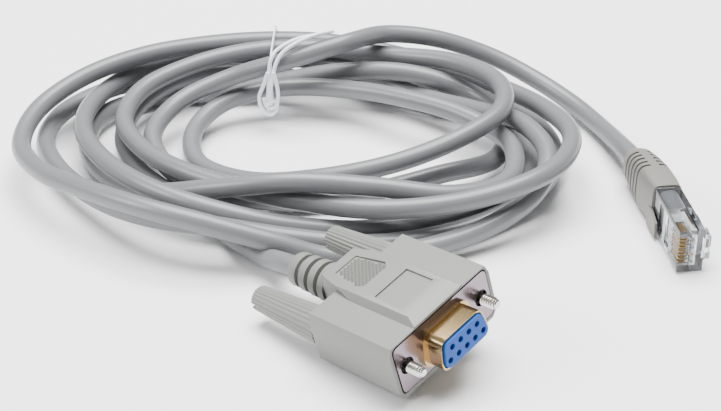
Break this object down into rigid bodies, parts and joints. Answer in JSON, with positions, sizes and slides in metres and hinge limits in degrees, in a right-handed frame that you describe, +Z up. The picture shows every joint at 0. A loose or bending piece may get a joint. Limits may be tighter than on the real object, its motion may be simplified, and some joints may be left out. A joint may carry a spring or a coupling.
{
  "type": "serial console cable",
  "caption": "Coiled grey console cable with a serial D connector with thumbscrews at one end and a clear modular plug with a boot at the other.",
  "frame": {"origin": "on the table, below the middle of the box round both connectors", "axes": "+Z up from the table; +Y from the connectors towards the far side of the coil; +X to the right, towards the modular plug"},
  "size_m": [0.1787, 0.1742, 0.0272],
  "materials": {
    "grey_moulding": "moulded PVC, fine satin",
    "nickel_plate": "nickel-plated pressed steel, bright",
    "blue_insulator": "moulded, semi-gloss",
    "gold_plate": "gold-coloured plating",
    "clear_plastic": "clear, polished mould",
    "grey_boot": "soft moulded, satin",
    "grey_jacket": "extruded PVC, satin",
    "green_wire": "extruded",
    "orange_wire": "extruded",
    "blue_wire": "extruded",
    "brown_wire": "extruded",
    "pale_wire": "extruded",
    "white_tie": "plastic-covered wire"
  },
  "bodies": {
    "cable": {"db9_hood": "grey_moulding", "db9_shell": "nickel_plate", "db9_insulator": "blue_insulator", "db9_socket_1": "gold_plate", "db9_socket_2": "gold_plate", "db9_socket_3": "gold_plate", "db9_socket_4": "gold_plate", "db9_socket_5": "gold_plate", "db9_socket_6": "gold_plate", "db9_socket_7": "gold_plate", "db9_socket_8": "gold_plate", "db9_socket_9": "gold_plate", "rj45_contact_1": "gold_plate", "rj45_contact_2": "gold_plate", "rj45_contact_3": "gold_plate", "rj45_contact_4": "gold_plate", "rj45_contact_5": "gold_plate", "rj45_contact_6": "gold_plate", "rj45_contact_7": "gold_plate", "rj45_contact_8": "gold_plate", "rj45_plug": "clear_plastic", "rj45_boot": "grey_boot", "cable_jacket": "grey_jacket", "rj45_jacket_end": "grey_jacket", "rj45_wire_1": "green_wire", "rj45_wire_3": "orange_wire", "rj45_wire_5": "blue_wire", "rj45_wire_7": "brown_wire", "rj45_wire_2": "pale_wire", "rj45_wire_4": "pale_wire", "rj45_wire_6": "pale_wire", "rj45_wire_8": "pale_wire", "twist_tie": "white_tie"},
    "left_thumbscrew": {"thumbscrew_grip_left": "grey_moulding", "thumbscrew_screw_left": "nickel_plate"},
    "right_thumbscrew": {"thumbscrew_grip_right": "grey_moulding", "thumbscrew_screw_right": "nickel_plate"}
  },
  "joints": [
    {"name": "left_thumbscrew_turn", "type": "hinge", "parent": "cable", "child": "left_thumbscrew", "pos_m": [-0.04129, -0.02611, 0.00732], "axis": [-0.7077, 0.7001, -0.0949], "continuous": true},
    {"name": "right_thumbscrew_turn", "type": "hinge", "parent": "cable", "child": "right_thumbscrew", "pos_m": [-0.02455, -0.00842, 0.01297], "axis": [-0.7077, 0.7001, -0.0949], "continuous": true}
  ]
}
